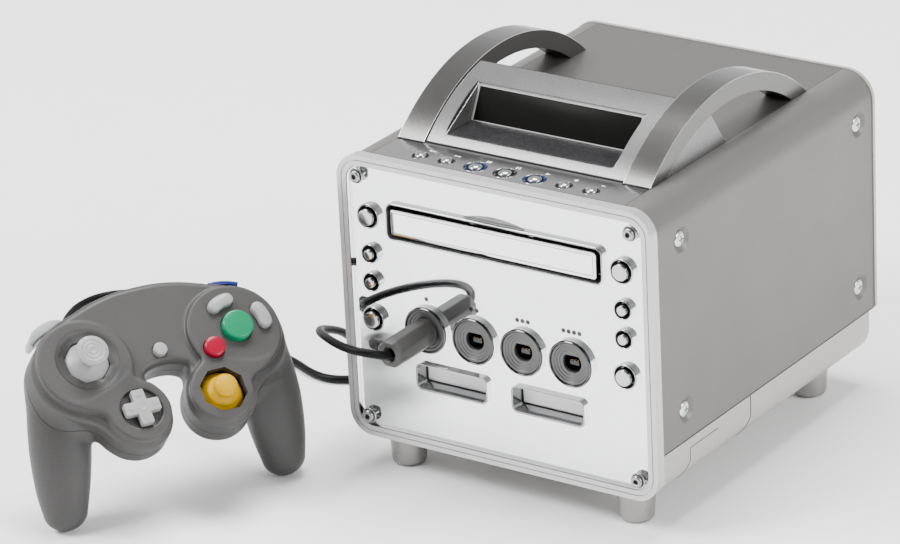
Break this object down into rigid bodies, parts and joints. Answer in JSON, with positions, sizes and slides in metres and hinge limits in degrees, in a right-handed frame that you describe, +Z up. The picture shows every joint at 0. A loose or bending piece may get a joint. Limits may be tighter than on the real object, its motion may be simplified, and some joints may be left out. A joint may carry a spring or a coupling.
{
  "type": "video game console",
  "caption": "Compact disc-tray video game console with mirrored front, arched top rails, a hooded display and a wired gamepad with sticks, keys and triggers.",
  "frame": {"origin": "on the table under the middle of the box around the console and the gamepad, cord and plug left out", "axes": "+X to the console's right as its front is looked at, +Y from its front to its back, +Z up"},
  "size_m": [0.4258, 0.3789, 0.1968],
  "materials": {
    "polished_frame": "polished",
    "clear_acrylic": "clear",
    "mirror_plate": "mirror",
    "socket_metal": "satin",
    "grey_plastic": "matte",
    "dark_plastic": "matte",
    "white_plastic": "matte",
    "steel_sheet": "satin",
    "silver_paint": "metallic satin",
    "display_glass": "gloss",
    "brushed_metal": "brushed",
    "satin_metal": "satin",
    "silver_plastic": "satin",
    "screw_chrome": "polished",
    "board_green": "satin",
    "pad_shell": "fine grain",
    "stick_grey": "matte",
    "stick_yellow": "matte",
    "key_green": "gloss",
    "key_red": "gloss",
    "key_blue": "gloss",
    "trigger_grey": "satin",
    "cord_black": "matte"
  },
  "bodies": {
    "console": {"front_bezel": "polished_frame", "clear_front_plate": "clear_acrylic", "mirror_fascia": "mirror_plate", "gamepad_sockets": "socket_metal", "card_slot_frames": "polished_frame", "drive_chassis": "steel_sheet", "control_ledge": "silver_paint", "display_hood": "silver_paint", "display_panel": "display_glass", "arched_rails": "brushed_metal", "top_panel": "satin_metal", "left_side_cover": "satin_metal", "right_side_cover": "satin_metal", "base_tub": "silver_plastic", "feet": "silver_plastic", "cover_screws": "screw_chrome", "rear_panel": "silver_plastic", "rear_handle": "brushed_metal", "rear_sockets": "dark_plastic", "main_board": "board_green"},
    "tray": {"disc_tray": "dark_plastic", "tray_door": "mirror_plate"},
    "tray_pinion": {"tray_pinion": "white_plastic"},
    "disc_spindle": {"disc_spindle": "dark_plastic"},
    "fan_rotor": {"fan_rotor": "dark_plastic"},
    "card_flap_a": {"card_flap_a": "grey_plastic"},
    "card_flap_b": {"card_flap_b": "grey_plastic"},
    "power_button": {"power_button": "screw_chrome"},
    "left_button_2": {"left_button_2": "screw_chrome"},
    "left_button_3": {"left_button_3": "screw_chrome"},
    "reset_button": {"reset_button": "screw_chrome"},
    "open_button": {"open_button": "screw_chrome"},
    "right_button_2": {"right_button_2": "screw_chrome"},
    "right_button_3": {"right_button_3": "screw_chrome"},
    "right_button_4": {"right_button_4": "screw_chrome"},
    "top_button_1": {"top_button_1": "screw_chrome"},
    "top_button_2": {"top_button_2": "screw_chrome"},
    "top_button_3": {"top_button_3": "screw_chrome"},
    "top_button_4": {"top_button_4": "screw_chrome"},
    "top_button_5": {"top_button_5": "screw_chrome"},
    "top_button_6": {"top_button_6": "screw_chrome"},
    "top_button_7": {"top_button_7": "screw_chrome"},
    "gamepad": {"gamepad_plug": "cord_black", "gamepad_cord": "cord_black", "cord_coil": "cord_black", "gamepad_upper_shell": "pad_shell", "gamepad_lower_shell": "pad_shell"},
    "main_stick_gimbal": {"main_stick_gimbal": "white_plastic"},
    "main_stick": {"main_stick": "stick_grey"},
    "small_stick_gimbal": {"small_stick_gimbal": "white_plastic"},
    "small_stick": {"small_stick": "stick_yellow"},
    "direction_pad": {"direction_pad": "grey_plastic"},
    "a_button": {"a_button": "key_green"},
    "b_button": {"b_button": "key_red"},
    "x_button": {"x_button": "grey_plastic"},
    "y_button": {"y_button": "grey_plastic"},
    "start_button": {"start_button": "grey_plastic"},
    "shoulder_button": {"shoulder_button": "key_blue"},
    "left_trigger": {"left_trigger": "trigger_grey"},
    "right_trigger": {"right_trigger": "trigger_grey"}
  },
  "joints": [
    {"name": "tray_slide", "type": "slide", "parent": "console", "child": "tray", "axis": [0, -1, 0], "range_m": [0, 0.125]},
    {"name": "pinion_turn", "type": "hinge", "parent": "console", "child": "tray_pinion", "pos_m": [0.01796, -0.01853, 0.1296], "axis": [0, 0, 1], "range_deg": [-5, 605]},
    {"name": "disc_spin", "type": "hinge", "parent": "console", "child": "disc_spindle", "pos_m": [0.05797, 0.02747, 0.126], "axis": [0, 0, 1], "continuous": true},
    {"name": "fan_spin", "type": "hinge", "parent": "console", "child": "fan_rotor", "pos_m": [0.01997, 0.15447, 0.104], "axis": [0, 1, 0], "continuous": true},
    {"name": "flap_a_swing", "type": "hinge", "parent": "console", "child": "card_flap_a", "pos_m": [0.02996, -0.04023, 0.06], "axis": [1, 0, 0], "range_deg": [0, 80], "stiffness_Nm_per_rad": 0.002},
    {"name": "flap_b_swing", "type": "hinge", "parent": "console", "child": "card_flap_b", "pos_m": [0.08596, -0.04023, 0.06], "axis": [1, 0, 0], "range_deg": [0, 80], "stiffness_Nm_per_rad": 0.002},
    {"name": "power_press", "type": "slide", "parent": "console", "child": "power_button", "axis": [0, 1, 0], "range_m": [0, 0.001], "stiffness_N_per_m": 200},
    {"name": "left_press_2", "type": "slide", "parent": "console", "child": "left_button_2", "axis": [0, 1, 0], "range_m": [0, 0.001], "stiffness_N_per_m": 200},
    {"name": "left_press_3", "type": "slide", "parent": "console", "child": "left_button_3", "axis": [0, 1, 0], "range_m": [0, 0.001], "stiffness_N_per_m": 200},
    {"name": "reset_press", "type": "slide", "parent": "console", "child": "reset_button", "axis": [0, 1, 0], "range_m": [0, 0.001], "stiffness_N_per_m": 200},
    {"name": "open_press", "type": "slide", "parent": "console", "child": "open_button", "axis": [0, 1, 0], "range_m": [0, 0.001], "stiffness_N_per_m": 200},
    {"name": "right_press_2", "type": "slide", "parent": "console", "child": "right_button_2", "axis": [0, 1, 0], "range_m": [0, 0.001], "stiffness_N_per_m": 200},
    {"name": "right_press_3", "type": "slide", "parent": "console", "child": "right_button_3", "axis": [0, 1, 0], "range_m": [0, 0.001], "stiffness_N_per_m": 200},
    {"name": "right_press_4", "type": "slide", "parent": "console", "child": "right_button_4", "axis": [0, 1, 0], "range_m": [0, 0.001], "stiffness_N_per_m": 200},
    {"name": "top_press_1", "type": "slide", "parent": "console", "child": "top_button_1", "axis": [0, 0, -1], "range_m": [0, 0.0008], "stiffness_N_per_m": 200},
    {"name": "top_press_2", "type": "slide", "parent": "console", "child": "top_button_2", "axis": [0, 0, -1], "range_m": [0, 0.0008], "stiffness_N_per_m": 200},
    {"name": "top_press_3", "type": "slide", "parent": "console", "child": "top_button_3", "axis": [0, 0, -1], "range_m": [0, 0.0008], "stiffness_N_per_m": 200},
    {"name": "top_press_4", "type": "slide", "parent": "console", "child": "top_button_4", "axis": [0, 0, -1], "range_m": [0, 0.0008], "stiffness_N_per_m": 200},
    {"name": "top_press_5", "type": "slide", "parent": "console", "child": "top_button_5", "axis": [0, 0, -1], "range_m": [0, 0.0008], "stiffness_N_per_m": 200},
    {"name": "top_press_6", "type": "slide", "parent": "console", "child": "top_button_6", "axis": [0, 0, -1], "range_m": [0, 0.0008], "stiffness_N_per_m": 200},
    {"name": "top_press_7", "type": "slide", "parent": "console", "child": "top_button_7", "axis": [0, 0, -1], "range_m": [0, 0.0008], "stiffness_N_per_m": 200},
    {"name": "plug_pull", "type": "slide", "parent": "console", "child": "gamepad", "axis": [0, -1, 0], "range_m": [0, 0.02]},
    {"name": "main_stick_tip", "type": "hinge", "parent": "gamepad", "child": "main_stick_gimbal", "pos_m": [-0.11584, -0.15192, 0.07312], "axis": [0.4805, 0.877, 0], "range_deg": [-20, 20], "stiffness_Nm_per_rad": 0.03},
    {"name": "main_stick_lean", "type": "hinge", "parent": "main_stick_gimbal", "child": "main_stick", "pos_m": [-0.11584, -0.15192, 0.07312], "axis": [-0.645, 0.3534, 0.6775], "range_deg": [-20, 20], "stiffness_Nm_per_rad": 0.03},
    {"name": "small_stick_tip", "type": "hinge", "parent": "gamepad", "child": "small_stick_gimbal", "pos_m": [-0.06653, -0.11029, 0.05171], "axis": [0.4805, 0.877, 0], "range_deg": [-15, 15], "stiffness_Nm_per_rad": 0.03},
    {"name": "small_stick_lean", "type": "hinge", "parent": "small_stick_gimbal", "child": "small_stick", "pos_m": [-0.06653, -0.11029, 0.05171], "axis": [-0.645, 0.3534, 0.6775], "range_deg": [-15, 15], "stiffness_Nm_per_rad": 0.03},
    {"name": "direction_rock", "type": "hinge", "parent": "gamepad", "child": "direction_pad", "pos_m": [-0.08179, -0.15164, 0.05934], "axis": [-0.645, 0.3534, 0.6775], "range_deg": [-5, 5], "stiffness_Nm_per_rad": 0.05},
    {"name": "a_press", "type": "slide", "parent": "gamepad", "child": "a_button", "axis": [-0.5942, 0.3256, -0.7355], "range_m": [0, 0.0015], "stiffness_N_per_m": 200},
    {"name": "b_press", "type": "slide", "parent": "gamepad", "child": "b_button", "axis": [-0.5942, 0.3256, -0.7355], "range_m": [0, 0.0012], "stiffness_N_per_m": 200},
    {"name": "x_press", "type": "slide", "parent": "gamepad", "child": "x_button", "axis": [-0.5942, 0.3256, -0.7355], "range_m": [0, 0.0015], "stiffness_N_per_m": 200},
    {"name": "y_press", "type": "slide", "parent": "gamepad", "child": "y_button", "axis": [-0.5942, 0.3256, -0.7355], "range_m": [0, 0.0015], "stiffness_N_per_m": 200},
    {"name": "start_press", "type": "slide", "parent": "gamepad", "child": "start_button", "axis": [-0.5942, 0.3256, -0.7355], "range_m": [0, 0.0008], "stiffness_N_per_m": 200},
    {"name": "shoulder_press", "type": "slide", "parent": "gamepad", "child": "shoulder_button", "axis": [0.645, -0.3534, -0.6775], "range_m": [0, 0.0008], "stiffness_N_per_m": 200},
    {"name": "left_trigger_pull", "type": "hinge", "parent": "gamepad", "child": "left_trigger", "pos_m": [-0.1412, -0.14041, 0.08429], "axis": [0.4805, 0.877, 0], "range_deg": [0, 12], "stiffness_Nm_per_rad": 0.1},
    {"name": "right_trigger_pull", "type": "hinge", "parent": "gamepad", "child": "right_trigger", "pos_m": [-0.10305, -0.07078, 0.08429], "axis": [0.4805, 0.877, 0], "range_deg": [0, 12], "stiffness_Nm_per_rad": 0.1}
  ],
  "couplings": [
    {"joint": "pinion_turn", "follows": "tray_slide", "rad_per_m": 83.333}
  ]
}
